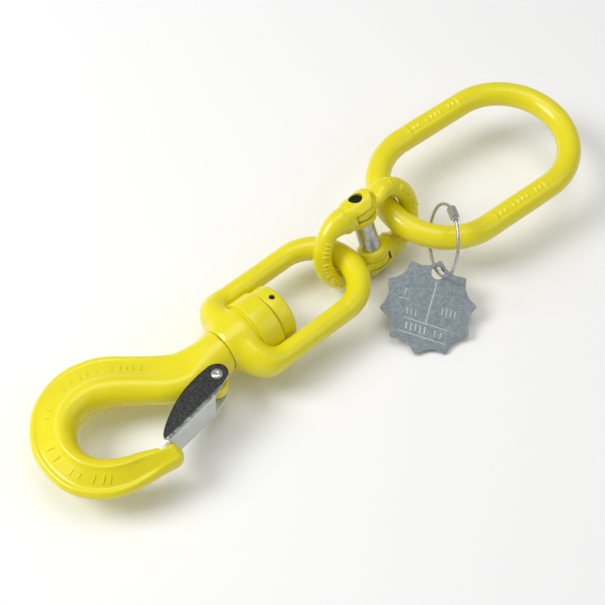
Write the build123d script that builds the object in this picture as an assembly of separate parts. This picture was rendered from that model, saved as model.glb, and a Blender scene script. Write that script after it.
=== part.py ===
from build123d import *
import os
from math import sin, cos, tan, pi, radians, degrees, sqrt, atan2, hypot, acos

# Swivel hook assembly for a 10 mm lifting chain: master link, coupling link, ball-bearing swivel
# with a latched sling hook, and an inspection tag on a small cable loop.
# Millimetres. +X runs along the chain from the hook to the master link, +Z is up, and the
# assembly lies on z = 0. Each body is drawn in its own local frame and then placed.

os.makedirs("parts", exist_ok=True)

# ---------------------------------------------------------------- placement
OX, OY = -88.25, 14.75           # the swivel's ring plane, measured from the middle of the whole part
AXIS_Z = 25.9                 # height of the swivel's axis above the floor
AXIS_YAW = 0.8                # turn of the swivel's axis about Z
BOW_ROLL = -3.0               # roll of the bow about the swivel's axis
HOOK_ROLL = -3.0              # roll of the hook about the swivel's axis
PIN_X, PIN_Y, PIN_Z = 133.1, 6.8, 5.9      # middle of the coupling's pin, from the ring plane and the axis
PIN_LEAN, PIN_YAW, PIN_PITCH = -21.8, 0.9, 6.8
ML_X, ML_Y, ML_Z = 229.4, 0.7, 12.2         # middle of the master link
ML_YAW, ML_PITCH = -3.6, 3.2

# ---------------------------------------------------------------- driving dimensions
ML_R, ML_S, ML_BAR = 45.25, 28.1, 8.5      # master link: end radius, half straight, bar radius
CP_HALF, CP_H, CP_BAR = 38.8, 26.0, 6.35    # coupling: pin to crown centre, half height to leg centre, bar radius
CP_EAR_R, CP_EAR_T, CP_GAP = 10.6, 6.7, 0.3
CP_PIN_R, CP_SLEEVE_R = 4.8, 7.0
BOW_W, BOW_R, BOW_RC, BOW_X = 28.8, 7.3, 8.5, 82.1   # leg spacing/2, leg bar, crown bar, where the crown arc starts
HUB_X0, HUB_X1 = 0.4, 21.5
SHANK_R, BUSH_R, BUSH_OR = 11.0, 11.06, 13.0
COVER_R, COVER_IR, COVER_X0, COVER_X1 = 21.25, 19.0, 21.5, 37.2
NUT_R, NUT_X0, NUT_X1 = 19.6, 37.7, 49.2
BALL_R, BALL_PR, BALL_X, N_BALLS = 2.8, 15.3, 31.0, 14
HOOK_T_IN, HOOK_T_BOWL, HOOK_T_OUT = 21.0, 24.0, 8.0
LATCH_X, LATCH_Y = -17.6, -17.7            # latch pivot in the hook's frame
LATCH_W, LATCH_T = 25.4, 1.8               # over the cheeks, sheet
RIVET_R = 2.5
TAG_R, TAG_T, TAG_HOLE, TAG_HOLE_U = 33.0, 1.6, 4.5, 24.4   # tip radius, sheet, hole radius, hole from the middle
WIRE_R, LOOP_R = 1.1, 24.23                # cable radius, mean radius of its loop
# the tag's middle and axes (U towards its hole), and the loop's middle and axes, from the ring plane and the axis
TAG_C, TAG_U, TAG_N = (134.09, -55.46, -11.75), (0.7830, 0.5026, 0.3666), (-0.1978, -0.3589, 0.9133)
LOOP_C, LOOP_E1, LOOP_E2 = (163.91, -34.08, 15.38), (-0.1758, -0.5476, 0.8181), (0.4925, 0.6706, 0.5546)
BARREL_AT = 42.0              # where the barrel sits round the loop, degrees


def at(x, y, z, yaw=0.0, pitch=0.0, roll=0.0):
    """Placement: roll about X, then nose-up pitch, then yaw, then move. In the frame of the axis and ring plane."""
    return (Location((OX + x, OY + y, AXIS_Z + z)) * Rotation(0, 0, yaw)
            * Rotation(0, -pitch, 0) * Rotation(roll, 0, 0))


BOW_L = at(0, 0, 0, yaw=AXIS_YAW, roll=BOW_ROLL)
HOOK_L = at(0, 0, 0, yaw=AXIS_YAW, roll=HOOK_ROLL)
PIN_L = at(PIN_X, PIN_Y, PIN_Z, PIN_YAW, PIN_PITCH, PIN_LEAN)
ML_L = at(ML_X, ML_Y, ML_Z, ML_YAW, ML_PITCH)


def save(shape, name):
    export_step(shape, "parts/%s.step" % name)
    bb = shape.bounding_box()
    print("%-24s vol %9.1f  x %7.1f..%7.1f  y %7.1f..%7.1f  z %7.1f..%7.1f  solids %d" % (
        name, shape.volume, bb.min.X, bb.max.X, bb.min.Y, bb.max.Y, bb.min.Z, bb.max.Z, len(shape.solids())))


def cyl_x(r, x0, x1):
    return Plane(origin=(x0, 0, 0), x_dir=(0, 1, 0), z_dir=(1, 0, 0)) * extrude_circle(r, x1 - x0)


def extrude_circle(r, h):
    return extrude(Circle(r), h)


def ring_x(ro, ri, x0, x1):
    return cyl_x(ro, x0, x1) - cyl_x(ri, x0 - 1, x1 + 1)


def one(s):
    """The single solid of a result, for clean STEP files."""
    sol = s.solids()
    return sol[0] if len(sol) == 1 else Compound(children=list(sol))


# ---------------------------------------------------------------- master link
def arc_bar(cx, cy, R, a0, a1, r):
    """A round bar bent on an arc in the XY plane, from angle a0 to a1 in degrees."""
    sec = Plane(origin=(cx + R, cy, 0), x_dir=(1, 0, 0), z_dir=(0, -1, 0)) * Circle(r)
    bar = revolve(sec, Axis((cx, cy, 0), (0, 0, 1)), a1 - a0)
    return bar.rotate(Axis((cx, cy, 0), (0, 0, 1)), a0)


def bar_between(p, q, r):
    p, q = Vector(*p), Vector(*q)
    d = q - p
    return Plane(origin=p, z_dir=d.normalized()) * extrude_circle(r, d.length)


ml = arc_bar(ML_S, 0, ML_R, -90, 90, ML_BAR) + arc_bar(-ML_S, 0, ML_R, 90, 270, ML_BAR)
ml = ml + bar_between((-ML_S, ML_R, 0), (ML_S, ML_R, 0), ML_BAR)
ml = ml + bar_between((-ML_S, -ML_R, 0), (ML_S, -ML_R, 0), ML_BAR)
# a shallow pressed flat for the marking on the top of each leg
for sy in (1, -1):
    ml = ml - Location((-2, sy * (ML_R + 0.5), ML_BAR - 0.35 + 2)) * Box(44, 9, 4)
save(ML_L * one(ml), "master_link")


# ---------------------------------------------------------------- coupling link
CP_CX = CP_HALF - CP_H                     # middle of the crown's arc, from the pin
CP_TOP = CP_H + CP_BAR
CP_LOW = CP_TOP - 3 * CP_EAR_T - 2 * CP_GAP
CP_MID = (CP_TOP + CP_LOW) / 2


def ellipse_at(o, n, a, b, xd=(0, 0, 1)):
    return Plane(origin=o, x_dir=xd, z_dir=n) * Ellipse(a, b)


def coupling_half(sgn, fork_top):
    """One half: a crown of round bar, two forged roots, and ears about the pin at each end.
    Drawn towards +X for both halves and turned round at the end for the other one."""
    h = arc_bar(0, 0, CP_H, -62, 62, CP_BAR)
    h = h.rotate(Axis.X, 90).moved(Location((CP_CX, 0, 0)))
    zs = [(CP_LOW + k * (CP_EAR_T + CP_GAP), CP_LOW + k * (CP_EAR_T + CP_GAP) + CP_EAR_T) for k in range(3)]
    for s in (1, -1):
        fork = (s > 0) == fork_top
        use = [zs[0], zs[2]] if fork else [zs[1]]
        # outline of the ears across the link: domed outside, flat towards the inside
        dome = Ellipse(CP_EAR_R + 0.1, CP_TOP - CP_MID + 0.05).face().moved(Location((0, CP_MID, 0)))
        low = Rectangle(2 * CP_EAR_R + 0.2, CP_MID - CP_LOW).face().moved(Location((0, (CP_MID + CP_LOW) / 2, 0)))
        outline = Plane(origin=(-30, 0, 0), x_dir=(0, 1, 0), z_dir=(1, 0, 0)) * (extrude(dome, 60) + extrude(low, 60))
        side = None
        for z0, z1 in use:
            e = Location((0, 0, z0)) * extrude_circle(CP_EAR_R, z1 - z0)
            e = e + Location((8.0, 0, (z0 + z1) / 2)) * Box(16.0, 16.4, z1 - z0)
            side = e if side is None else side + e
        side = side & outline
        print("ears", s, round(side.volume), end=" ")
        half_z = CP_TOP - CP_MID if fork else 5.3
        a0, b0 = CP_MID + half_z, CP_MID - half_z
        root = loft([ellipse_at((14.2, 0, CP_MID), (1, 0, 0), half_z, 8.5),
                     ellipse_at((20.3, 0, 23.0 if fork else 23.3), (cos(radians(12)), 0, -sin(radians(12))), 8.6 if fork else 6.2, 7.6),
                     ellipse_at((CP_CX + CP_H * cos(radians(55)), 0, CP_H * sin(radians(55))),
                                (cos(radians(35)), 0, -sin(radians(35))), CP_BAR + 0.06, CP_BAR + 0.04)])
        side = side + root
        print("root", round(root.volume), round(side.volume), end=" ")
        if s < 0:
            side = side.mirror(Plane.XY)
        h = h + side
        print("all", round(h.volume), h.is_valid)
        for k, (z0, z1) in enumerate(zs):
            if (z0, z1) not in use:
                z0, z1 = (z0, z1) if s > 0 else (-z1, -z0)
                h = h - Location((0, 0, z0 - CP_GAP)) * extrude_circle(CP_EAR_R + 1.3, z1 - z0 + 2 * CP_GAP)
    h = h - Location((0, 0, -60)) * extrude_circle(CP_PIN_R + 0.06, 120)
    if sgn < 0:
        h = h.rotate(Axis.Z, 180)
    return h


half_m = coupling_half(1, False)
half_h = coupling_half(-1, True)
save(PIN_L * one(half_m), "coupling_half_link_side")
save(PIN_L * one(half_h), "coupling_half_hook_side")
pin_len = 2 * (CP_H + CP_BAR) - 2.6
pin = Location((0, 0, -pin_len / 2)) * extrude_circle(CP_PIN_R, pin_len)
pin = chamfer(pin.edges().filter_by(GeomType.CIRCLE), 0.8)
save(PIN_L * one(pin), "coupling_pin")
low = CP_LOW
sleeve = Location((0, 0, -low + 0.4)) * extrude_circle(CP_SLEEVE_R, 2 * low - 0.8)
sleeve = sleeve - Location((0, 0, -60)) * extrude_circle(CP_PIN_R + 0.9, 120)
save(PIN_L * one(sleeve), "coupling_sleeve")
clip = Location((0, 0, -4)) * extrude_circle(CP_PIN_R + 0.88, 8) - Location((0, 0, -60)) * extrude_circle(CP_PIN_R, 120)
clip = clip - Location((5, 0, 0)) * Box(10, 1.2, 20)
save(PIN_L * one(clip), "coupling_spring_clip")


# ---------------------------------------------------------------- swivel bow with its hub
def circle_at(o, n, r, xd=(0, 0, 1)):
    return Plane(origin=o, x_dir=xd, z_dir=n) * Circle(r)


# crown: half ring whose bar swells from the leg to the middle
secs = []
for k in range(0, 9):
    a = radians(-90 + 22.5 * k)
    r = BOW_R + (BOW_RC - BOW_R) * (cos(a) ** 0.8 if cos(a) > 1e-6 else 0.0)
    secs.append(circle_at((BOW_X + BOW_W * cos(a), BOW_W * sin(a), 0), (-sin(a), cos(a), 0), r))
crown = loft(secs)
bow = crown
LEG_X0 = 27.0
for s in (1, -1):
    bow = bow + bar_between((LEG_X0, s * BOW_W, 0), (BOW_X, s * BOW_W, 0), BOW_R)
    # shoulder: from the side of the hub round to the leg
    sh = []
    for t, cxx, cyy, aa, bb in ((0.0, 11.7, 4.0, 16.6, 9.9), (20.0, 13.4, 17.0, 14.0, 9.6),
                                (50.0, 18.1, 26.0, 10.8, 9.3), (90.0, LEG_X0, BOW_W, BOW_R, BOW_R)):
        tt = radians(t)
        sh.append(ellipse_at((cxx, s * cyy, 0), (sin(tt), s * cos(tt), 0), aa, bb))
    bow = bow + loft(sh)
hub_prof = Polyline((HUB_X0, 0), (HUB_X0, 15.4), (3.0, 16.0), (8.0, 17.4), (14.0, 18.9), (20.0, 19.4), (HUB_X1, 19.0))
hub_face = make_face(hub_prof + Line((HUB_X1, 19.0), (HUB_X1, 0)) + Line((HUB_X1, 0), (HUB_X0, 0)))
hub = revolve(hub_face, Axis.X, 360)
bow = bow + hub
bow = bow - cyl_x(COVER_R + 0.06, HUB_X1, 37.6)
bow = bow + cyl_x(COVER_IR - 0.02, HUB_X1 - 1, 24.5)
bow = bow - cyl_x(BUSH_OR, -5, 40) - cyl_x(14.4, -1, 1.6)
save(BOW_L * one(bow), "swivel_bow")
save(BOW_L * one(ring_x(BUSH_OR, BUSH_R, 1.8, 21.4)), "hub_bush")
save(BOW_L * one(ring_x(14.38, 11.3, 0.45, 1.58)), "grease_seal")
cover = ring_x(COVER_R, COVER_IR, COVER_X0 + 0.02, COVER_X1)
cover = chamfer(cover.edges().filter_by(GeomType.CIRCLE).filter_by(lambda e: e.radius > 20), 0.6)
save(BOW_L * one(cover), "bearing_cover")


def race(x0, x1):
    prof = Location((0, 0, 0)) * ring_x(18.6, 12.4, x0, x1)
    tor = revolve(Plane.XY * Location((BALL_X, BALL_PR)) * Circle(BALL_R + 0.25), Axis.X, 360)
    return prof - tor


save(BOW_L * one(race(24.55, 28.8)), "lower_race")
save(HOOK_L * one(race(33.2, 37.65)), "upper_race")
balls = []
for k in range(N_BALLS):
    a = 2 * pi * k / N_BALLS
    balls.append(Location((BALL_X, BALL_PR * cos(a), BALL_PR * sin(a))) * Sphere(BALL_R))
save(BOW_L * Compound(children=balls), "bearing_balls")
cage = ring_x(18.75, 11.7, BALL_X - 1.0, BALL_X + 1.0)
for k in range(N_BALLS):
    a = 2 * pi * k / N_BALLS
    cage = cage - Plane(origin=(BALL_X - 3, BALL_PR * cos(a), BALL_PR * sin(a)), z_dir=(1, 0, 0)) * extrude_circle(BALL_R + 0.05, 6)
save(BOW_L * one(cage), "ball_cage")

nut = cyl_x(NUT_R, NUT_X0, NUT_X1)
nut = chamfer(nut.edges().filter_by(GeomType.CIRCLE), 0.8)
nut = nut - cyl_x(10.42, NUT_X0 - 5, NUT_X1 + 5)
pin_hole = Location((43.6, 0, -30)) * extrude_circle(2.02, 60)
nut = nut - pin_hole
save(HOOK_L * one(nut), "swivel_nut")
lock = Location((43.6, 0, -NUT_R + 1.2)) * extrude_circle(2.0, 2 * NUT_R - 2.6)
save(HOOK_L * one(lock), "nut_lock_pin")

# ---------------------------------------------------------------- hook
# stations: inner edge, outer edge, thickness near the inside, thickness at the rim
HOOK_ST = [
    (0.0, -15.3, 0.0, 15.3, 30.6, 30.6),
    (-8.0, -14.6, -7.0, 14.2, 28.0, 28.0),
    (-20.0, -13.6, -13.5, 14.4, 23.5, 22.0),
    (-34.0, -13.6, -20.0, 15.8, 21.0, 17.0),
    (-47.5, -7.6, -26.5, 18.6, 21.0, 14.0),
    (-57.5, 0.4, -36.0, 26.0, 21.2, 12.0),
    (-66.8, 7.8, -46.0, 34.6, 22.0, 11.0),
    (-75.3, 13.6, -57.0, 44.0, 23.0, 10.0),
    (-83.3, 17.0, -69.0, 50.0, 24.0, 9.0),
    (-91.3, 17.6, -84.0, 52.8, 24.0, 8.5),
    (-99.0, 15.2, -101.0, 49.8, 24.0, 8.0),
    (-105.2, 9.6, -118.0, 39.4, 24.0, 8.0),
    (-108.7, 1.2, -131.2, 20.1, 24.0, 8.0),
    (-108.5, -5.2, -134.6, 0.0, 24.0, 8.0),
    (-105.4, -12.0, -131.7, -17.4, 24.0, 8.5),
    (-99.6, -17.8, -120.8, -32.2, 23.5, 9.0),
    (-92.5, -21.6, -107.0, -40.3, 23.0, 9.5),
    (-84.5, -25.0, -92.0, -43.3, 22.0, 10.0),
    (-77.3, -28.8, -79.5, -44.6, 20.5, 11.0),
    (-70.6, -31.6, -70.0, -46.0, 18.5, 12.0),
]


def hook_section(ix, iy, ox, oy, tin, tout, n=20):
    """Closed section from the round inner edge, over the flat faces, to the narrow rim."""
    L = hypot(ox - ix, oy - iy)
    ux, uy = (ox - ix) / L, (oy - iy) / L
    hin, hout = tin / 2, tout / 2
    a = min(0.42 * L, hin)                 # depth of the round inner side
    b = min(0.22 * L, hout * 1.2)          # depth of the round rim
    if abs(L - tin) < 1.5 and abs(tin - tout) < 0.5:
        a = b = L / 2
    pts = []
    # inner quarter rounds: from u=0 out to u=a, top side
    for k in range(0, 4):
        t = radians(90 * k / 3)
        pts.append((a - a * cos(t), hin * sin(t)))
    if a + b < L - 1.0:
        for k in (1, 2):
            u = a + (L - a - b) * k / 3
            pts.append((u, hin + (hout - hin) * (u - a) / (L - b - a)))
    else:
        pass
    for k in range(0, 4):
        t = radians(90 - 90 * k / 3)
        p = (L - b + b * cos(t), hout * sin(t))
        if not pts or hypot(p[0] - pts[-1][0], p[1] - pts[-1][1]) > 0.3:
            pts.append(p)
    full = pts + [(u, -v) for u, v in reversed(pts[1:-1])]
    return [(ix + ux * u, iy + uy * u, v) for u, v in full]


def even(points, n):
    """n points evenly spaced by length round a closed 3-D polygon, starting at its first point."""
    P = [Vector(*p) for p in points] + [Vector(*points[0])]
    d = [0.0]
    for i in range(1, len(P)):
        d.append(d[-1] + (P[i] - P[i - 1]).length)
    out = []
    j = 0
    for k in range(n):
        s = d[-1] * k / n
        while d[j + 1] < s:
            j += 1
        f = (s - d[j]) / (d[j + 1] - d[j])
        out.append(P[j] + (P[j + 1] - P[j]) * f)
    return out


def section_face(points):
    w = Wire([Edge.make_spline(points, periodic=True)])
    return Face(w)


hsec = [section_face(even(hook_section(*st), 24)) for st in HOOK_ST]
# the rounded point: three shrinking sections
tipc = (-67.0, -38.2)
for f, dx in ((0.86, 3.2), (0.55, 5.6)):
    ix, iy, ox, oy, tin, tout = HOOK_ST[-1]
    mx, my = (ix + ox) / 2 + dx, (iy + oy) / 2 + dx * 0.05
    sx, sy = (ox - ix) / 2 * f, (oy - iy) / 2 * f
    hsec.append(section_face(even(hook_section(mx - sx, my - sy, mx + sx, my + sy, tin * f, tout * f), 24)))
hook = loft([hsec[0], hsec[1]])
for f0, f1 in zip(hsec[1:-1], hsec[2:]):
    hook = hook + loft([f0, f1])
print("hook body", hook.is_valid, round(hook.volume), len(hook.solids()))
# collar, shank and thread
hook = hook + cyl_x(SHANK_R, -1.0, 37.7) + cyl_x(10.38, 37.6, NUT_X1 - 1.6)
# lug for the latch, in the middle of the thickness
lug = Location((LATCH_X, LATCH_Y, -5)) * extrude_circle(7.2, 10)
lug = lug + Location((LATCH_X - 1, LATCH_Y + 5, 0)) * Box(16, 10, 10)
hook = hook + lug
hook = hook - Location((LATCH_X, LATCH_Y, -40)) * extrude_circle(RIVET_R + 0.06, 80)
hook = hook - Location((LATCH_X, LATCH_Y, 5.0)) * extrude_circle(4.6, 20)
hook = hook - Location((LATCH_X, LATCH_Y, -25.0)) * extrude_circle(4.6, 20)
hook = hook - pin_hole
# seat for the latch's nose on the inside of the point
seat = Location((-71.5, -33.0, 0)) * Rotation(0, 0, 8.5) * Location((2.5, 3.0, 0)) * Box(14.0, 9.4, 27.0)
hook = hook - seat
save(HOOK_L * one(hook), "hook")

# ---------------------------------------------------------------- latch
W2 = LATCH_W / 2
cheek_pts = [(-12.2, -22.6), (-10.0, -19.2), (-10.0, -15.0), (-12.4, -11.8), (-16.5, -10.0), (-21.0, -10.0), (-29.5, -10.9),
             (-38.5, -12.7), (-46.0, -15.2), (-53.5, -18.6), (-60.0, -22.2), (-65.8, -26.0), (-69.6, -29.6), (-70.6, -32.0)]
web_a, web_b = (-27.5, -28.4), (-68.0, -34.0)
cw = Polyline(*cheek_pts, web_b, web_a, (-20.0, -25.6), cheek_pts[0])
cheek = extrude(make_face(cw), LATCH_T)
ang = degrees(atan2(web_a[1] - web_b[1], web_a[0] - web_b[0]))
web_len = hypot(web_a[0] - web_b[0], web_a[1] - web_b[1])
web = (Location(((web_a[0] + web_b[0]) / 2, (web_a[1] + web_b[1]) / 2, 0)) * Rotation(0, 0, ang)
       * Location((0.0, LATCH_T / 2, 0)) * Box(web_len, LATCH_T, LATCH_W))
latch = cheek.moved(Location((0, 0, W2 - LATCH_T))) + cheek.moved(Location((0, 0, -W2))) + web
nose = (Location((web_b[0], web_b[1], 0)) * Rotation(0, 0, ang) * Location((-2.6, LATCH_T / 2, 0)) * Box(6.4, LATCH_T, 15.0))
latch = latch + nose
latch = latch - Location((LATCH_X, LATCH_Y, -40)) * extrude_circle(RIVET_R + 0.02, 80)
save(HOOK_L * one(latch), "latch")
rivet = Location((LATCH_X, LATCH_Y, -W2)) * extrude_circle(RIVET_R, LATCH_W)
for s in (1, -1):
    head = Location((LATCH_X, LATCH_Y, W2 if s > 0 else -W2 - 1.6)) * extrude_circle(3.9, 1.6)
    head = fillet(head.edges().filter_by(GeomType.CIRCLE).sort_by(Axis.Z)[-1 if s > 0 else 0], 1.1)
    rivet = rivet + head
save(HOOK_L * one(rivet), "latch_rivet")
# torsion spring: two coils, one each side of the lug, drawn as rings with a leg
spring = None
for s in (1, -1):
    z0 = 5.6 if s > 0 else -5.6 - 4.4
    c = Location((LATCH_X, LATCH_Y, z0)) * (extrude_circle(4.0, 4.4) - extrude_circle(2.75, 4.4))
    spring = c if spring is None else spring + c
save(HOOK_L * Compound(children=list(spring.solids())), "latch_spring")

# ---------------------------------------------------------------- inspection tag
def ring_vec(p):
    return Vector(OX + p[0], OY + p[1], AXIS_Z + p[2])


tag_plane = Plane(origin=ring_vec(TAG_C), x_dir=TAG_U, z_dir=TAG_N)
tag = Circle(TAG_R)
for k in range(10):
    a = radians(18 + 36 * k)
    tag = tag - Location((42.9 * cos(a), 42.9 * sin(a))) * Circle(14.6)
tag = fillet(tag.vertices(), 1.1)
tag = tag - Location((TAG_HOLE_U, 0)) * Circle(TAG_HOLE)
tag = tag_plane * Location((0, 0, -TAG_T / 2)) * extrude(tag, TAG_T)
save(one(tag), "tag")

# ---------------------------------------------------------------- cable loop through the tag
E1, E2, LC = Vector(*LOOP_E1).normalized(), Vector(*LOOP_E2).normalized(), ring_vec(LOOP_C)


def loop_point(deg, r):
    return LC + E1 * (r * cos(radians(deg))) + E2 * (r * sin(radians(deg)))


def loop_tangent(deg):
    return E2 * cos(radians(deg)) - E1 * sin(radians(deg))


BAR_HALF = degrees(atan2(8.5, LOOP_R))     # the first and last corners stand 8.5 mm from the barrel's middle
STEP = (360 - 4 * BAR_HALF) / 10
route = [loop_point(BARREL_AT, LOOP_R) + loop_tangent(BARREL_AT) * 0.3]
route.append(loop_point(BARREL_AT + BAR_HALF, LOOP_R / cos(radians(BAR_HALF))))
for k in range(10):
    route.append(loop_point(BARREL_AT + 2 * BAR_HALF + STEP * (k + 0.5), LOOP_R / cos(radians(STEP / 2))))
route.append(loop_point(BARREL_AT - BAR_HALF, LOOP_R / cos(radians(BAR_HALF))))
route.append(loop_point(BARREL_AT, LOOP_R) - loop_tangent(BARREL_AT) * 0.3)
radii = []
for p, q, r in zip(route[:-2], route[1:-1], route[2:]):
    turn = (q - p).get_angle(r - q)
    radii.append(0.45 * min((q - p).length, (r - q).length) / tan(radians(turn / 2)))
print("route", [tuple(round(c, 2) for c in (p.X, p.Y, p.Z)) for p in route])
print("cable radii", [round(r, 2) for r in radii])
path = FilletPolyline(*route, radius=radii)
wire_sec = Plane(origin=route[0], z_dir=(route[1] - route[0]).normalized()) * Circle(WIRE_R)
cable = sweep(wire_sec, path=path.wire() if hasattr(path, "wire") else path)
print("cable length", round(path.length, 2), "volume", round(cable.volume, 2), "section x length", round(pi * WIRE_R ** 2 * path.length, 2))
save(one(cable), "tag_cable")
bt = loop_tangent(BARREL_AT)
barrel = Plane(origin=loop_point(BARREL_AT, LOOP_R) - bt * 3.6, z_dir=bt) * extrude_circle(3.2, 9.1)
barrel = chamfer(barrel.edges().filter_by(GeomType.CIRCLE), 0.5)
bore = Plane(origin=loop_point(BARREL_AT, LOOP_R) - bt * 10, z_dir=bt) * extrude_circle(WIRE_R + 0.13, 20)
save(one(barrel - bore), "cable_barrel")
stud = Plane(origin=loop_point(BARREL_AT, LOOP_R) - bt * 5.7, z_dir=bt) * extrude_circle(2.3, 2.05)
save(one(stud - bore), "cable_stud")
print("done")
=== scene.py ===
import math

import bpy
import bmesh
import numpy as np
from mathutils import Matrix, Vector


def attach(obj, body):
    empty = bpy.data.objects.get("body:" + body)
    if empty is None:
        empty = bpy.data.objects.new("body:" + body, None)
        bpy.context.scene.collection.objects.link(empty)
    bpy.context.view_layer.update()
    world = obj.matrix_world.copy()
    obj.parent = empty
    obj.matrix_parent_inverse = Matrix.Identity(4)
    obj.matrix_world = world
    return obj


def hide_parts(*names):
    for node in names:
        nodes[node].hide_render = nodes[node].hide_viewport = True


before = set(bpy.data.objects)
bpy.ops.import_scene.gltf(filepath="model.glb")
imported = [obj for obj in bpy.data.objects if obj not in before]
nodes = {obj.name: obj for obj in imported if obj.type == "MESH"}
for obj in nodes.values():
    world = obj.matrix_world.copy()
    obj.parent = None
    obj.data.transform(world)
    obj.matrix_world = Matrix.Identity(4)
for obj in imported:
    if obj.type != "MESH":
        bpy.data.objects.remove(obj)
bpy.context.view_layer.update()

# ------------------------------------------------------------------ where things are (mm, as in the CAD)
OX, OY, AZ = -88.25, 14.75, 25.9
AXIS_YAW, ROLL = 0.8, -3.0
PIN = (133.1, 6.8, 5.9)
PIN_LEAN, PIN_YAW, PIN_PITCH = -21.8, 0.9, 6.8
ML = (229.4, 0.7, 12.2)
ML_YAW, ML_PITCH = -3.6, 3.2
ML_R, ML_S, ML_BAR = 45.25, 28.1, 8.5
CP_HALF, CP_H, CP_BAR = 38.8, 26.0, 6.35
CP_EAR_R, CP_EAR_T, CP_GAP, CP_PIN_R = 10.6, 6.7, 0.3, 4.8
BOW_W, BOW_R, BOW_RC, BOW_X = 28.8, 7.3, 8.5, 82.1
COVER_R, HUB_X1 = 21.25, 21.5
LATCH_X, LATCH_Y, LATCH_W, LATCH_T, RIVET_R = -17.6, -17.7, 25.4, 1.8, 2.5
TAG_R, TAG_T, TAG_HOLE, TAG_HOLE_U = 33.0, 1.6, 4.5, 24.4
TAG_C, TAG_U, TAG_N = (134.09, -55.46, -11.75), (0.7830, 0.5026, 0.3666), (-0.1978, -0.3589, 0.9133)
WIRE_R = 1.1


def rot(yaw, pitch, roll):
    y, p, r = (math.radians(a) for a in (yaw, pitch, roll))
    rz = np.array([[math.cos(y), -math.sin(y), 0], [math.sin(y), math.cos(y), 0], [0, 0, 1]])
    ry = np.array([[math.cos(p), 0, -math.sin(p)], [0, 1, 0], [math.sin(p), 0, math.cos(p)]])
    rx = np.array([[1, 0, 0], [0, math.cos(r), -math.sin(r)], [0, math.sin(r), math.cos(r)]])
    return rz @ ry @ rx


ORI = np.array([OX, OY, AZ])
SWIVEL = (rot(AXIS_YAW, 0, ROLL), ORI)
COUPLE = (rot(PIN_YAW, PIN_PITCH, PIN_LEAN), ORI + np.array(PIN))
MASTER = (rot(ML_YAW, ML_PITCH, 0), ORI + np.array(ML))
_u = np.array(TAG_U) / np.linalg.norm(TAG_U)
_n = np.array(TAG_N) - np.dot(TAG_N, _u) * _u
_n /= np.linalg.norm(_n)
TAGF = (np.stack([_u, np.cross(_n, _u), _n], 1), ORI + np.array(TAG_C))


# ------------------------------------------------------------------ mesh helpers (local frames, mm)
class Bag:
    """A growing list of closed shells."""

    def __init__(self):
        self.v, self.f, self.n = [], [], 0

    def add(self, v, f):
        v = np.asarray(v, float)
        self.v.append(v)
        self.f += [tuple(i + self.n for i in q) for q in f]
        self.n += len(v)
        return self

    def rings(self, R, closed=False, cap=True):
        """R is (rings, points, 3): skins them, with a fan at each end."""
        R = np.asarray(R, float)
        m, n = R.shape[:2]
        v = R.reshape(-1, 3)
        f = []
        for i in range(m if closed else m - 1):
            j = (i + 1) % m
            for k in range(n):
                l = (k + 1) % n
                f.append((i * n + k, i * n + l, j * n + l, j * n + k))
        if not closed and cap:
            c = len(v)
            v = np.concatenate([v, R[0].mean(0)[None], R[-1].mean(0)[None]])
            for k in range(n):
                l = (k + 1) % n
                f.append((l, k, c))
                f.append(((m - 1) * n + k, (m - 1) * n + l, c + 1))
        return self.add(v, f)

    def moved(self, M, T):
        out = Bag()
        out.v = [np.concatenate(self.v) @ np.asarray(M).T + np.asarray(T)]
        out.f, out.n = list(self.f), self.n
        return out

    def mesh(self, name):
        me = bpy.data.meshes.new(name)
        me.from_pydata(np.concatenate(self.v).tolist(), [], self.f)
        bm = bmesh.new()
        bm.from_mesh(me)
        bmesh.ops.recalc_face_normals(bm, faces=bm.faces)
        bm.to_mesh(me)
        bm.free()
        return me


def tube(P, r, up, n=40, closed=False, bag=None):
    """A round bar along P with its side axes taken from up."""
    P = np.asarray(P, float)
    r = np.broadcast_to(np.asarray(r, float), len(P))
    if closed:
        t = np.roll(P, -1, 0) - np.roll(P, 1, 0)
    else:
        t = np.gradient(P, axis=0)
    t /= np.linalg.norm(t, axis=1)[:, None]
    b = np.asarray(up, float)[None] - (t @ np.asarray(up, float))[:, None] * t
    b /= np.linalg.norm(b, axis=1)[:, None]
    s = np.cross(b, t)
    a = np.linspace(0, 2 * np.pi, n, endpoint=False)
    R = P[:, None] + r[:, None, None] * (np.cos(a)[None, :, None] * s[:, None] + np.sin(a)[None, :, None] * b[:, None])
    return (bag or Bag()).rings(R, closed=closed)


def cyl(p, q, r, n=64, bag=None, r2=None):
    p, q = np.asarray(p, float), np.asarray(q, float)
    d = q - p
    up = (0, 0, 1) if abs(d[2]) < 0.9 * np.linalg.norm(d) else (0, 1, 0)
    return tube([p + d * k / 4 for k in range(5)], [r + ((r if r2 is None else r2) - r) * k / 4 for k in range(5)], up, n, bag=bag)


def box(c, size, M=None, bag=None):
    c, h = np.asarray(c, float), np.asarray(size, float) / 2
    v = np.array([[x, y, z] for x in (-1, 1) for y in (-1, 1) for z in (-1, 1)], float) * h
    if M is not None:
        v = v @ np.asarray(M).T
    return (bag or Bag()).add(v + c, [(0, 1, 3, 2), (4, 6, 7, 5), (0, 4, 5, 1), (2, 3, 7, 6), (0, 2, 6, 4), (1, 5, 7, 3)])


def revolve_x(prof, n=96, bag=None):
    a = np.linspace(0, 2 * np.pi, n, endpoint=False)
    R = [[(x, r * math.cos(t), r * math.sin(t)) for t in a] for x, r in prof]
    return (bag or Bag()).rings(R)


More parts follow.
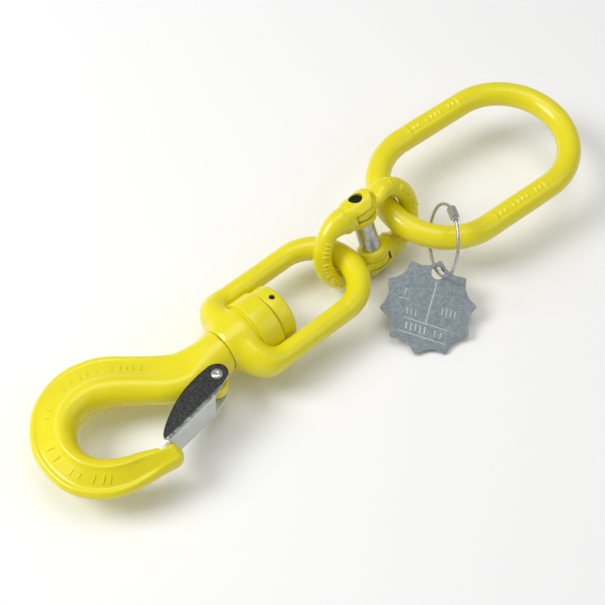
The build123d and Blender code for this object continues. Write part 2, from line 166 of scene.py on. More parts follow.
def spline(K, m):
    """Smooth line through the rows of K, m steps to each span."""
    K = np.asarray(K, float)
    Q = np.concatenate([2 * K[:1] - K[1:2], K, 2 * K[-1:] - K[-2:-1]])
    out = []
    for i in range(1, len(Q) - 2):
        for k in range(m):
            t = k / m
            p0, p1, p2, p3 = Q[i - 1], Q[i], Q[i + 1], Q[i + 2]
            out.append(0.5 * (2 * p1 + (p2 - p0) * t + (2 * p0 - 5 * p1 + 4 * p2 - p3) * t * t + (3 * p1 - p0 - 3 * p2 + p3) * t ** 3))
    out.append(K[-1])
    return np.array(out)


def loft_x(K, m=10, n=64, bag=None, sx=1.0):
    """Elliptic sections: rows are origin (3), normal (3), half height along Z-ish, half width."""
    S = spline(K, m)
    a = np.linspace(0, 2 * np.pi, n, endpoint=False)
    R = []
    for row in S:
        o, nn, aa, bb = row[:3], row[3:6] / np.linalg.norm(row[3:6]), row[6], row[7]
        z = np.array([0, 0, 1.0]) - nn[2] * nn
        z /= np.linalg.norm(z)
        y = np.cross(nn, z)
        R.append(o + aa * np.cos(a)[:, None] * z + bb * np.sin(a)[:, None] * y)
    return (bag or Bag()).rings(R)


def tmp_object(me):
    o = bpy.data.objects.new("tmp", me)
    bpy.context.scene.collection.objects.link(o)
    return o


def bake(o):
    dg = bpy.context.evaluated_depsgraph_get()
    dg.update()
    me = bpy.data.meshes.new_from_object(o.evaluated_get(dg), depsgraph=dg)
    old = o.data
    bpy.data.objects.remove(o)
    bpy.data.meshes.remove(old)
    return me


def fuse(me, voxel, smooth=6, factor=0.5):
    """Melts shells into one skin, the way a forging's parts run into each other."""
    o = tmp_object(me)
    m = o.modifiers.new("r", "REMESH")
    m.mode, m.voxel_size, m.adaptivity = "VOXEL", voxel, 0.0
    if smooth:
        s = o.modifiers.new("s", "SMOOTH")
        s.factor, s.iterations = factor, smooth
    return bake(o)


def cut(me, tools, op="DIFFERENCE"):
    o = tmp_object(me)
    others = []
    for bag in tools:
        c = tmp_object(bag.mesh("cutter"))
        c.hide_render = True
        others.append(c)
        m = o.modifiers.new("b", "BOOLEAN")
        m.operation, m.object = op, c
        m.solver = "MANIFOLD"
    out = bake(o)
    for c in others:
        d = c.data
        bpy.data.objects.remove(c)
        bpy.data.meshes.remove(d)
    return out


def smooth_shade(me, angle=None):
    me.polygons.foreach_set("use_smooth", [True] * len(me.polygons))
    if angle is not None:
        me.set_sharp_from_angle(angle=math.radians(angle))
    me.update()


def place(me, name, frm, mats, angle=35):
    """Local millimetres to the row frame in metres, as a new object."""
    M, T = frm
    co = np.zeros(len(me.vertices) * 3)
    me.vertices.foreach_get("co", co)
    co = (co.reshape(-1, 3) @ M.T + T) / 1000.0
    me.vertices.foreach_set("co", co.ravel())
    smooth_shade(me, angle)
    me.materials.clear()
    for mt in mats:
        me.materials.append(mt)
    o = bpy.data.objects.new(name, me)
    me.name = name
    bpy.context.scene.collection.objects.link(o)
    return o


def local_points(me):
    co = np.zeros(len(me.vertices) * 3)
    me.vertices.foreach_get("co", co)
    return co.reshape(-1, 3)


def push(me, fn):
    """Moves each vertex along its normal by fn(points, normals), in mm."""
    co = local_points(me)
    no = np.zeros(len(me.vertices) * 3)
    me.vertices.foreach_get("normal", no)
    no = no.reshape(-1, 3)
    co = co + no * fn(co, no)[:, None]
    me.vertices.foreach_set("co", co.ravel())
    me.update()
    return me


def relax(me, weight, rounds, plain=False):
    """Laplacian smoothing where weight(points) is above nought."""
    co = local_points(me)
    e = np.zeros(len(me.edges) * 2, int)
    me.edges.foreach_get("vertices", e)
    e = e.reshape(-1, 2)
    deg = np.bincount(e.ravel(), minlength=len(co)).astype(float)[:, None]
    w = weight(co)[:, None]
    for k in range(rounds):
        acc = np.zeros_like(co)
        for j in range(3):
            acc[:, j] = np.bincount(e[:, 0], co[e[:, 1], j], len(co)) + np.bincount(e[:, 1], co[e[:, 0], j], len(co))
        lam = 0.6 if plain or k % 2 == 0 else -0.52
        co = co + lam * w * (acc / deg - co)
    me.vertices.foreach_set("co", co.ravel())
    me.update()
    return me


def lathe(prof, frm_axis="x", n=120, bag=None):
    """A closed section (x, r) turned round the X axis."""
    a = np.linspace(0, 2 * np.pi, n, endpoint=False)
    R = [[(x, r * math.cos(t), r * math.sin(t)) for t in a] for x, r in prof]
    if frm_axis == "z":
        R = [[(y, z, x) for x, y, z in ring] for ring in R]
    return (bag or Bag()).rings(R, closed=True)


def step(x, a, b):
    t = np.clip((x - a) / (b - a), 0, 1)
    return t * t * (3 - 2 * t)


def ripple(P, s, seed):
    """Slow uneven swell of a forged surface, from -1 to 1."""
    rng = np.random.RandomState(seed)
    out = np.zeros(len(P))
    for k in range(6):
        w = rng.normal(size=3)
        w *= rng.uniform(0.6, 1.5) / s / np.linalg.norm(w)
        out += np.sin(P @ w * 2 * np.pi + rng.uniform(0, 6.28))
    return out / 6


# ------------------------------------------------------------------ materials
def srgb(r, g, b):
    return tuple(((c / 255) / 12.92 if c / 255 <= 0.04045 else ((c / 255 + 0.055) / 1.055) ** 2.4) for c in (r, g, b)) + (1.0,)


def material(name):
    m = bpy.data.materials.new(name)
    m.use_nodes = True
    nt = m.node_tree
    p = nt.nodes["Principled BSDF"]
    return m, nt, p


def tex(nt, kind, scale, detail=4.0, rough=0.55, **kw):
    co = nt.nodes.new("ShaderNodeTexCoord")
    mp = nt.nodes.new("ShaderNodeMapping")
    nt.links.new(co.outputs["Object"], mp.inputs["Vector"])
    if "stretch" in kw:
        mp.inputs["Scale"].default_value = kw["stretch"]
    if "turn" in kw:
        mp.inputs["Rotation"].default_value = kw["turn"]
    t = nt.nodes.new(kind)
    t.inputs["Scale"].default_value = scale
    if kind == "ShaderNodeTexNoise":
        t.inputs["Detail"].default_value = detail
        t.inputs["Roughness"].default_value = rough
    nt.links.new(mp.outputs["Vector"], t.inputs["Vector"])
    return t


def ramp(nt, src, stops, out=0):
    r = nt.nodes.new("ShaderNodeValToRGB")
    e = r.color_ramp.elements
    while len(e) < len(stops):
        e.new(0.5)
    for el, (pos, col) in zip(e, stops):
        el.position = pos
        el.color = col
    nt.links.new(src.outputs[out], r.inputs["Fac"])
    return r


def mix(nt, a, b, fac, mode="MIX"):
    m = nt.nodes.new("ShaderNodeMix")
    m.data_type = "RGBA"
    m.blend_type = mode
    for i, s in ((6, a), (7, b)):
        if isinstance(s, tuple):
            m.inputs[i].default_value = s
        else:
            nt.links.new(s, m.inputs[i])
    if isinstance(fac, float):
        m.inputs[0].default_value = fac
    else:
        nt.links.new(fac, m.inputs[0])
    return m.outputs[2]


def bump(nt, p, height, strength, distance, chain=None):
    b = nt.nodes.new("ShaderNodeBump")
    b.inputs["Strength"].default_value = strength
    b.inputs["Distance"].default_value = distance
    nt.links.new(height, b.inputs["Height"])
    if chain is not None:
        nt.links.new(chain.outputs["Normal"], b.inputs["Normal"])
    nt.links.new(b.outputs["Normal"], p.inputs["Normal"])
    return b


def grey(v):
    return (v, v, v, 1.0)


def yellow_paint():
    m, nt, p = material("yellow_paint")
    big = tex(nt, "ShaderNodeTexNoise", 22, 3)
    base = ramp(nt, big, [(0.30, srgb(228, 215, 8)), (0.55, srgb(235, 222, 12)), (0.78, srgb(240, 227, 20))])
    fine = tex(nt, "ShaderNodeTexNoise", 420, 3)
    spots = ramp(nt, fine, [(0.0, srgb(220, 206, 6)), (0.42, srgb(235, 222, 12)), (1.0, srgb(242, 229, 30))])
    col = mix(nt, base.outputs["Color"], spots.outputs["Color"], 0.35)
    speck = tex(nt, "ShaderNodeTexVoronoi", 130)
    sp = ramp(nt, speck, [(0.0, grey(1.0)), (0.035, grey(1.0)), (0.06, grey(0.0))])
    rare = tex(nt, "ShaderNodeTexNoise", 60, 2)
    rr = ramp(nt, rare, [(0.60, grey(0.0)), (0.68, grey(0.35))])
    mul = nt.nodes.new("ShaderNodeMath")
    mul.operation = "MULTIPLY"
    nt.links.new(sp.outputs["Color"], mul.inputs[0])
    nt.links.new(rr.outputs["Color"], mul.inputs[1])
    col = mix(nt, col, srgb(168, 150, 24), mul.outputs[0])
    nt.links.new(col, p.inputs["Base Color"])
    ro = ramp(nt, tex(nt, "ShaderNodeTexNoise", 90, 4), [(0.3, grey(0.26)), (0.7, grey(0.36))])
    nt.links.new(ro.outputs["Color"], p.inputs["Roughness"])
    p.inputs["Specular IOR Level"].default_value = 0.5
    p.inputs["Coat Weight"].default_value = 0.35
    p.inputs["Coat Roughness"].default_value = 0.12
    peel = tex(nt, "ShaderNodeTexNoise", 260, 2)
    b1 = bump(nt, p, peel.outputs[0], 0.10, 0.0006)
    lump = tex(nt, "ShaderNodeTexNoise", 55, 3)
    bump(nt, p, lump.outputs[0], 0.16, 0.0012, b1)
    return m


def metal(name, lo, hi, rough=(0.25, 0.45), scale=160, stretch=(1, 1, 1), metallic=1.0, bumps=0.08, spots=None):
    m, nt, p = material(name)
    n = tex(nt, "ShaderNodeTexNoise", scale, 6, 0.65, stretch=stretch)
    c = ramp(nt, n, [(0.32, lo), (0.68, hi)])
    col = c.outputs["Color"]
    if spots:
        s = tex(nt, "ShaderNodeTexNoise", spots[0], 8, 0.75)
        sr = ramp(nt, s, [(spots[1], grey(0.0)), (spots[2], grey(1.0))])
        col = mix(nt, col, spots[3], sr.outputs["Color"])
    nt.links.new(col, p.inputs["Base Color"])
    r = ramp(nt, tex(nt, "ShaderNodeTexNoise", scale * 0.6, 5), [(0.3, grey(rough[0])), (0.7, grey(rough[1]))])
    nt.links.new(r.outputs["Color"], p.inputs["Roughness"])
    p.inputs["Metallic"].default_value = metallic
    bump(nt, p, n.outputs[0], bumps, 0.0003)
    return m


YELLOW = yellow_paint()
BLACK = metal("black_oxide", srgb(14, 14, 15), srgb(38, 38, 40), (0.4, 0.6), 300, metallic=0.6, bumps=0.2)
BRIGHT = metal("bright_steel", srgb(188, 188, 186), srgb(216, 216, 213), (0.24, 0.34), 160, metallic=0.9, bumps=0.03)
BEARING = metal("bearing_steel", srgb(175, 176, 180), srgb(215, 216, 220), (0.08, 0.16), 60)
BRONZE = metal("bronze", srgb(150, 112, 62), srgb(188, 146, 88), (0.28, 0.42), 120)
RUBBER = metal("rubber", srgb(16, 16, 16), srgb(30, 30, 30), (0.6, 0.8), 500, metallic=0.0, bumps=0.25)
ZINC = metal("zinc_web", srgb(206, 211, 208), srgb(224, 228, 225), (0.30, 0.42), 120, metallic=0.55, spots=(260, 0.60, 0.80, srgb(186, 192, 192)), bumps=0.04)
# painted shade: the latch's upper cheek is given dark zinc, a painted dark reflection; the lower cheek and the web of
# the same sheet stay bright zinc
CHEEK_PAINTED_SHADE = metal("zinc_cheek_painted_shade", srgb(44, 44, 45), srgb(84, 84, 84), (0.30, 0.52), 620, spots=(1400, 0.55, 0.72, srgb(150, 150, 150)), bumps=0.22)
# painted highlight: a lighter band round the upper cheek's rim and along its bend into the web, between the painted
# shade and the bright zinc
BEND_PAINTED_HIGHLIGHT = metal("zinc_bend_painted_highlight", srgb(96, 97, 97), srgb(176, 178, 176), (0.16, 0.28), 240, spots=(900, 0.5, 0.7, srgb(60, 60, 60)), bumps=0.06)
TAGM = metal("zinc_tag", srgb(122, 133, 139), srgb(158, 168, 173), (0.36, 0.58), 330, metallic=0.4, bumps=0.2, spots=(900, 0.48, 0.70, srgb(176, 186, 190)))
SCRIBE = metal("scribed", srgb(200, 208, 212), srgb(226, 232, 234), (0.4, 0.6), 400, metallic=0.3)
CABLE = metal("cable_steel", srgb(164, 162, 166), srgb(214, 213, 217), (0.26, 0.42), 700, metallic=0.7, bumps=0.3)
STEEL_IN = metal("steel_inside", srgb(88, 84, 74), srgb(120, 116, 104), (0.35, 0.55), 200)


def dress(node, mat):
    o = nodes[node]
    o.data.materials.clear()
    o.data.materials.append(mat)


for n_, m_ in {"coupling_pin": BLACK, "coupling_sleeve": BRIGHT, "coupling_spring_clip": BRIGHT, "hub_bush": BRONZE, "grease_seal": RUBBER,
               "bearing_cover": YELLOW, "lower_race": BEARING, "upper_race": BEARING, "bearing_balls": BEARING, "ball_cage": BRONZE,
               "swivel_nut": YELLOW, "nut_lock_pin": BLACK, "latch_rivet": BRIGHT, "latch_spring": BRIGHT, "cable_barrel": BRIGHT,
               "cable_stud": BRIGHT, "master_link": YELLOW, "coupling_half_link_side": YELLOW, "coupling_half_hook_side": YELLOW,
               "swivel_bow": YELLOW, "hook": YELLOW, "latch": ZINC, "tag": TAGM, "tag_cable": CABLE}.items():
    dress(n_, m_)

# ------------------------------------------------------------------ camera
cam_d = bpy.data.cameras.new("camera")
cam = bpy.data.objects.new("camera", cam_d)
bpy.context.scene.collection.objects.link(cam)
cam_d.sensor_width = 36.0
cam_d.lens = 83.31
cam_d.clip_start, cam_d.clip_end = 0.05, 20.0
right, up, back = (0.7447, -0.6633, 0.0735), (0.5254, 0.6506, 0.5483), (-0.4115, -0.3698, 0.8330)
b_ = Vector(back).normalized()
u_ = (Vector(up) - Vector(up).dot(b_) * b_).normalized()
r_ = u_.cross(b_)
cam_at = Vector(((-309.2 + OX) / 1000, (-341.9 + OY) / 1000, (758.7 + AZ) / 1000))
cam.matrix_world = Matrix(((r_.x, u_.x, b_.x, cam_at.x), (r_.y, u_.y, b_.y, cam_at.y), (r_.z, u_.z, b_.z, cam_at.z), (0, 0, 0, 1)))
bpy.context.scene.camera = cam

# ------------------------------------------------------------------ the tag's cable
ROUTE = [(80.63, -18.06, 64.96), (84.59, -10.97, 63.85), (88.29, -1.49, 53.38), (88.37, 2.18, 41.74), (85.42, 0.71, 29.99),
         (80.14, -5.53, 20.94), (73.79, -15.07, 16.73), (67.89, -25.62, 18.38), (63.84, -34.67, 25.49), (62.61, -40.07, 36.37),
         (64.49, -40.51, 48.42), (69.04, -35.91, 58.76), (76.37, -25.67, 66.15), (80.34, -18.58, 65.04)]
cu = bpy.data.curves.new("tag_cable_wire", "CURVE")
cu.dimensions = "3D"
sp_ = cu.splines.new("NURBS")
sp_.points.add(len(ROUTE) - 1)
for pt, q in zip(sp_.points, ROUTE):
    pt.co = (q[0] / 1000, q[1] / 1000, q[2] / 1000, 1.0)
sp_.order_u = 3
sp_.use_endpoint_u = True
sp_.resolution_u = 24
cu.bevel_depth = WIRE_R / 1000
cu.bevel_resolution = 6
cu.use_fill_caps = True
cable = bpy.data.objects.new("tag_cable_wire", cu)
bpy.context.scene.collection.objects.link(cable)
cu.materials.append(CABLE)
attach(cable, "cable")
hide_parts("tag_cable")


# ------------------------------------------------------------------ master link
def master_link():
    arc = math.pi * ML_R
    per = 2 * arc + 4 * ML_S
    N = 620
    s = np.arange(N) * per / N
    P, T, flat = [], [], []
    for d in s:
        # start in the middle of the +Y leg, going towards -X
        d0 = d
        if d < ML_S:
            P.append((-d, ML_R)); O = (0, 1)
        elif d < ML_S + arc:
            t = math.pi / 2 + (d - ML_S) / ML_R
            P.append((-ML_S + ML_R * math.cos(t), ML_R * math.sin(t))); O = (math.cos(t), math.sin(t))
        elif d < 3 * ML_S + arc:
            P.append((-ML_S + (d - ML_S - arc), -ML_R)); O = (0, -1)
        elif d < 3 * ML_S + 2 * arc:
            t = -math.pi / 2 + (d - 3 * ML_S - arc) / ML_R
            P.append((ML_S + ML_R * math.cos(t), ML_R * math.sin(t))); O = (math.cos(t), math.sin(t))
        else:
            P.append((ML_S - (d - 3 * ML_S - 2 * arc), ML_R)); O = (0, 1)
        T.append(O)
    P, O = np.array(P), np.array(T)
    n = 72
    a = np.linspace(0, 2 * np.pi, n, endpoint=False)
    R = np.zeros((N, n, 3))
    leg_p = np.where(s > per / 2, s - per, s)              # distance from the middle of the +Y leg
    leg_m = s - per / 2                                     # and of the -Y leg
    for i in range(N):
        c, z = np.cos(a), np.sin(a)
        r = np.full(n, ML_BAR)
        # pressed marking panels on the top of both legs: across the bar w = r cos
        for dist, sunk in ((leg_p[i], 1.0), (leg_m[i], 1.0)):
            if abs(dist) < 26:
                w = ML_BAR * c
                inside = (1 - step(abs(dist), 21.0, 22.2)) * (1 - step(np.abs(w), 3.7, 4.6)) * (z > 0)
                edge = (1 - step(abs(dist), 22.6, 23.8)) * (1 - step(np.abs(w), 5.0, 5.9)) * (z > 0)
                r = r + 0.22 * edge * (1 - inside) - 0.45 * inside
                # plain upright strokes where a maker would stamp its marks
                k = (dist + 18.0) / 4.0
                if abs(dist) < 18.4 and abs(k - round(k)) < 0.11 and int(round(k)) % 5 != 2:
                    r = r + 0.55 * inside * (1 - step(np.abs(w), 2.0, 2.5))
        R[i, :, 0] = P[i, 0] + O[i, 0] * r * c
        R[i, :, 1] = P[i, 1] + O[i, 1] * r * c
        R[i, :, 2] = r * z
    bag = Bag().rings(R, closed=True)
    me = bag.mesh("master")
    push(me, lambda co, no: 0.05 * ripple(co, 38, 5) - 0.06)
    return me


master = place(master_link(), "master_link_forged", MASTER, [YELLOW], 60)
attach(master, "master")
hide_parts("master_link")


# ------------------------------------------------------------------ coupling halves
CX = CP_HALF - CP_H
TOP = CP_H + CP_BAR
LOW = TOP - 3 * CP_EAR_T - 2 * CP_GAP
MID = (TOP + LOW) / 2
ZS = [(LOW + k * (CP_EAR_T + CP_GAP), LOW + k * (CP_EAR_T + CP_GAP) + CP_EAR_T) for k in range(3)]


def domed_ears(z0, z1, s):
    """The ear block about the pin: domed outside, flat inside, with a cheek towards the crown."""
    R = []
    for x in np.concatenate([np.linspace(-CP_EAR_R + 0.02, 0, 22), np.linspace(1.0, 15.8, 16)]):
        hw = math.sqrt(max(CP_EAR_R ** 2 - x * x, 0.01)) if x < 0 else CP_EAR_R + (7.9 - CP_EAR_R) * step(x, 0.0, 12.0)
        sq = 5.0 - 2.9 * step(x, 2.0, 13.0)
        hz = (z1 - z0) / 2 * (1 - 0.10 * step(x, 8.0, 15.0))
        ring = []
        for t in np.linspace(0, 2 * np.pi, 56, endpoint=False):
            c, q = math.cos(t), math.sin(t)
            k = (abs(c) ** sq + abs(q) ** sq) ** (-1 / sq)
            y, z = hw * c * k, (z0 + z1) / 2 + hz * q * k
            dome = MID + (TOP - MID) * math.sqrt(max(1 - (y / (CP_EAR_R + 0.1)) ** 2, 0.0))
            ring.append((x, y, s * min(z, dome)))
        R.append(ring)
    return R


def coupling(sgn, fork_top, seed):
    bag = Bag()
    a = np.radians(np.linspace(-62, 62, 70))
    crown = np.stack([CX + CP_H * np.cos(a), 0 * a, CP_H * np.sin(a)], 1)
    tube(crown, CP_BAR, (0, 1, 0), 56, bag=bag)
    cuts = []
    for s in (1, -1):
        fork = (s > 0) == fork_top
        use = [ZS[0], ZS[2]] if fork else [ZS[1]]
        bag.rings(domed_ears(use[0][0], use[-1][1], s))
        hz = TOP - MID if fork else 5.3
        K = [(13.0, 0, s * MID, 1, 0, 0.0, hz, 8.5),
             (14.6, 0, s * MID, 1, 0, -s * 0.02, hz, 8.5),
             (20.3, 0, s * (23.0 if fork else 23.3), math.cos(math.radians(12)), 0, -s * math.sin(math.radians(12)), 8.6 if fork else 6.2, 7.6),
             (CX + CP_H * math.cos(math.radians(55)), 0, s * CP_H * math.sin(math.radians(55)),
              math.cos(math.radians(35)), 0, -s * math.sin(math.radians(35)), CP_BAR + 0.05, CP_BAR + 0.03),
             (CX + CP_H * math.cos(math.radians(48)), 0, s * CP_H * math.sin(math.radians(48)),
              math.cos(math.radians(42)), 0, -s * math.sin(math.radians(42)), CP_BAR, CP_BAR)]
        loft_x(K, 8, 56, bag)
        for z0, z1 in ZS:
            if (z0, z1) not in use:
                lo, hi = sorted((s * (z0 - CP_GAP), s * (z1 + CP_GAP)))
                cuts.append(cyl((0, 0, lo), (0, 0, hi), CP_EAR_R + 1.3, 80))
    # plain raised strokes along the crown, where a forging carries its marks
    for side in (1, -1):
        for k in range(-7, 8):
            if k in (-2, 3):
                continue
            t = math.radians(6.2 * k)
            ct = np.array([CX + CP_H * math.cos(t), 0, CP_H * math.sin(t)])
            rad = np.array([math.cos(t), 0, math.sin(t)])
            tan = np.array([-math.sin(t), 0, math.cos(t)])
            dirn = (0.25 * rad + side * np.array([0, 0.968, 0]))
            dirn /= np.linalg.norm(dirn)
            across = np.cross(tan, dirn)
            M = np.stack([tan, across, dirn], 1)
            long = 4.2 if k % 3 else 3.0
            box(ct + dirn * (CP_BAR + 0.05), (1.25, long, 1.5), M, bag)
    me = fuse(bag.mesh("coupling"), 0.42, 4, 0.5)
    me = relax(me, lambda c: step(c[:, 0], 10.0, 13.0) * (1 - step(c[:, 0], 21.0, 25.0)) * step(np.abs(c[:, 2]), 9.0, 13.0), 26, True)
    me = cut(me, cuts)
    push(me, lambda co, no: 0.07 * ripple(co, 15, seed) + 0.02)
    me = cut(me, [cyl((0, 0, -60), (0, 0, 60), CP_PIN_R + 0.06, 64)])
    if sgn < 0:
        co = local_points(me)
        co[:, 0] *= -1
        co[:, 1] *= -1
        me.vertices.foreach_set("co", co.ravel())
    return me


for name_, sgn_, top_, body_, node_, seed_ in (("coupling_link_side_forged", 1, False, "link_half", "coupling_half_link_side", 3),
                                               ("coupling_hook_side_forged", -1, True, "hook_half", "coupling_half_hook_side", 4)):
    o = place(coupling(sgn_, top_, seed_), name_, COUPLE, [YELLOW], 40)
    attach(o, body_)
    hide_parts(node_)


# ------------------------------------------------------------------ swivel bow with its hub
def swivel_bow():
    bag = Bag()
    a = np.radians(np.linspace(-90, 90, 90))
    crown = np.stack([BOW_X + BOW_W * np.cos(a), BOW_W * np.sin(a), 0 * a], 1)
    rr = BOW_R + (BOW_RC - BOW_R) * np.clip(np.cos(a), 0, 1) ** 0.8
    lx = np.linspace(27.0, BOW_X - 1, 40)
    lo_ = np.stack([lx, -BOW_W + 0 * lx, 0 * lx], 1)
    hi_ = np.stack([lx[::-1], BOW_W + 0 * lx, 0 * lx], 1)
    tube(np.concatenate([lo_, crown, hi_]), np.concatenate([0 * lx + BOW_R, rr, 0 * lx + BOW_R]), (0, 0, 1), 56, bag=bag)
    for s in (1, -1):
        K = []
        for t, cx, cy, aa, bb in ((0.0, 11.7, 1.0, 16.6, 9.9), (0.0, 11.7, 4.0, 16.6, 9.9), (20.0, 13.4, 17.0, 14.0, 9.6),
                                  (50.0, 18.1, 26.0, 10.8, 9.3), (90.0, 27.0, BOW_W, BOW_R, BOW_R), (90.0, 32.0, BOW_W, BOW_R, BOW_R)):
            tt = math.radians(t)
            K.append((cx, s * cy, 0, math.sin(tt), s * math.cos(tt), 0, aa, bb))
        loft_x(K, 8, 56, bag)
    revolve_x([(0.4, 15.3), (3.0, 16.0), (8.0, 17.4), (14.0, 18.9), (20.0, 19.4), (21.5, 19.0)], 96, bag)
    me = fuse(bag.mesh("bow"), 0.55, 9, 0.5)
    # blend the creases where the shoulders leave the hub
    me = relax(me, lambda c: step(c[:, 0], 0.9, 3.2) * (1 - step(c[:, 0], 24.0, 34.0)), 110, True)
    push(me, lambda c, n: 0.75 * step(c[:, 0], 0.9, 3.2) * (1 - step(c[:, 0], 24.0, 34.0)))
    # keep the hub's end face flat after the melt
    co = local_points(me)
    near = (co[:, 0] < 1.6) & (np.hypot(co[:, 1], co[:, 2]) < 14.6)
    co[near, 0] = 0.45
    me.vertices.foreach_set("co", co.ravel())
    push(me, lambda c, n: 0.09 * ripple(c, 26, 11) + 0.04)
    me = cut(me, [cyl((HUB_X1, 0, 0), (37.6, 0, 0), COVER_R + 0.07, 128)])
    me = cut(me, [cyl((20.4, 0, 0), (24.5, 0, 0), 18.96, 96)], "UNION")
    return cut(me, [cyl((-6, 0, 0), (60, 0, 0), 13.02, 96), cyl((-6, 0, 0), (1.6, 0, 0), 14.42, 96)])


bow = place(swivel_bow(), "swivel_bow_forged", SWIVEL, [YELLOW], 40)
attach(bow, "bow")
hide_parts("swivel_bow")

# ------------------------------------------------------------------ hook
STATIONS = [
    (0.0, -15.3, 0.0, 15.3, 30.6, 30.6), (-8.0, -14.6, -7.0, 14.2, 28.0, 28.0), (-20.0, -13.6, -13.5, 14.4, 23.5, 22.0),
    (-34.0, -13.6, -20.0, 15.8, 21.0, 17.0), (-47.5, -7.6, -26.5, 18.6, 21.0, 14.0), (-57.5, 0.4, -36.0, 26.0, 21.2, 12.0),
    (-66.8, 7.8, -46.0, 34.6, 22.0, 11.0), (-75.3, 13.6, -57.0, 44.0, 23.0, 10.0), (-83.3, 17.0, -69.0, 50.0, 24.0, 9.0),
    (-91.3, 17.6, -84.0, 52.8, 24.0, 8.5), (-99.0, 15.2, -101.0, 49.8, 24.0, 8.0), (-105.2, 9.6, -118.0, 39.4, 24.0, 8.0),
    (-108.7, 1.2, -131.2, 20.1, 24.0, 8.0), (-108.5, -5.2, -134.6, 0.0, 24.0, 8.0), (-105.4, -12.0, -131.7, -17.4, 24.0, 8.5),
    (-99.6, -17.8, -120.8, -32.2, 23.5, 9.0), (-92.5, -21.6, -107.0, -40.3, 23.0, 9.5), (-84.5, -25.0, -92.0, -43.3, 22.0, 10.0),
    (-77.3, -28.8, -79.5, -44.6, 20.5, 11.0), (-70.6, -31.6, -70.0, -46.0, 18.5, 12.0)]


def hook_mesh():
    S = spline(STATIONS, 10)
    N = len(S)
    R = []
    nt_, nb_ = 44, 44
    for i, (ix, iy, ox, oy, tin, tout) in enumerate(S):
        w = i / (N - 1) * (len(STATIONS) - 1)             # station number
        L = math.hypot(ox - ix, oy - iy)
        hin, hout = tin / 2, tout / 2
        blend = 1 - step(w, 0.6, 3.2)                       # round shank
        a_ = (1 - blend) * min(0.40 * L, hin * 0.95) + blend * L / 2
        b_2 = (1 - blend) * min(0.22 * L, hout * 1.2) + blend * L / 2
        t = np.linspace(0, 1, nt_)
        u = L * 0.5 * (1 - np.cos(np.pi * t))
        H = np.where(u < a_, hin * np.sqrt(np.clip(1 - ((a_ - u) / a_) ** 2, 0, 1)), 0)
        mid_ = (u >= a_) & (u <= L - b_2)
        if mid_.any():
            H[mid_] = hin + (hout - hin) * (u[mid_] - a_) / max(L - a_ - b_2, 1e-6)
        tail = (u > L - b_2) & (u >= a_)
        H[tail] = hout * np.sqrt(np.clip(1 - ((u[tail] - (L - b_2)) / b_2) ** 2, 0, 1))
        # pressed band between the inner bead and the rim, on both faces
        wt = step(w, 3.4, 5.0) * (1 - step(w, 16.6, 18.2))
        f = u / L
        band = step(f, 0.40, 0.46) * (1 - step(f, 0.84, 0.90))
        H = H - 0.85 * wt * band
        # the thin flat towards the point
        ux, uy = (ox - ix) / L, (oy - iy) / L
        top = np.stack([ix + ux * u, iy + uy * u, H], 1)
        bot = np.stack([ix + ux * u[1:-1], iy + uy * u[1:-1], -H[1:-1]], 1)[::-1]
        R.append(np.concatenate([top, bot]))
    # rounded point
    last = R[-1]
    c = last.mean(0)
    for q in (0.2, 0.4, 0.6, 0.75, 0.87, 0.95, 0.99):
        k = math.sqrt(1 - q * q)
        R.append(c + (last - c) * k + np.array([6.4 * q, 0.35 * q, 0]))
    bag = Bag().rings(R)
    cyl((-1.5, 0, 0), (36.0, 0, 0), 10.98, 80, bag=bag)
    cyl((LATCH_X, LATCH_Y, -5), (LATCH_X, LATCH_Y, 5), 7.2, 64, bag=bag)
    box((LATCH_X - 1, LATCH_Y + 5, 0), (16, 10, 9.8), None, bag)
    me = fuse(bag.mesh("hook"), 0.64, 4, 0.5)
    push(me, lambda co, no: np.where(co[:, 0] < -1.0, 0.09 * ripple(co, 24, 21) + 0.03, 0.0))
    # plain raised strokes in the band, on the outer half of both faces
    marks = Bag()
    for w, kind in [(5.4, 1), (5.75, 1), (6.1, 0), (6.45, 1), (6.8, 1), (7.6, 0), (8.1, 1), (8.5, 1), (8.95, 0), (9.5, 1), (10.6, 1), (11.0, 0), (12.2, 1), (12.7, 1), (13.6, 1), (14.0, 0), (14.6, 1), (15.0, 1), (15.3, 1)]:
        i = int(round(w / (len(STATIONS) - 1) * (N - 1)))
        ix, iy, ox, oy, tin, tout = S[i]
        L = math.hypot(ox - ix, oy - iy)
        d = np.array([(ox - ix) / L, (oy - iy) / L, 0])
        hin, hout = tin / 2, tout / 2
        a_, b_2 = min(0.40 * L, hin * 0.95), min(0.22 * L, hout * 1.2)
        for sz in (1, -1):
            f0 = 0.63
            u = f0 * L
            h = hin + (hout - hin) * (u - a_) / (L - a_ - b_2) - 0.80
            slope = (hout - hin) / (L - a_ - b_2)
            x = d + np.array([0, 0, sz * slope])
            x /= np.linalg.norm(x)
            z = np.array([-d[0] * slope * sz, -d[1] * slope * sz, 1.0]) * sz
            z /= np.linalg.norm(z)
            y = np.cross(z, x)
            M = np.stack([x, y, z], 1)
            p0 = np.array([ix, iy, 0]) + d * u + np.array([0, 0, sz * h])
            box(p0, (5.2 if kind else 3.2, 1.05, 0.95), M, marks)
    me2 = marks.mesh("marks")
    # cuts
    z85 = rot(8.5, 0, 0)
    seat_c = np.array([-71.5, -33.0, 0]) + z85 @ np.array([2.5, 3.0, 0])
    me = cut(me, [cyl((LATCH_X, LATCH_Y, -40), (LATCH_X, LATCH_Y, 40), RIVET_R + 0.06, 48),
                  cyl((LATCH_X, LATCH_Y, 5.0), (LATCH_X, LATCH_Y, 25), 4.6, 48),
                  cyl((LATCH_X, LATCH_Y, -25.0), (LATCH_X, LATCH_Y, -5), 4.6, 48),
                  cyl((43.6, 0, -30), (43.6, 0, 30), 2.02, 40),
                  box(seat_c, (14.0, 9.4, 27.0), z85)])
    me = cut(me, [Bag().add(local_points(me2), [tuple(p.vertices) for p in me2.polygons])], "UNION")
    bpy.data.meshes.remove(me2)
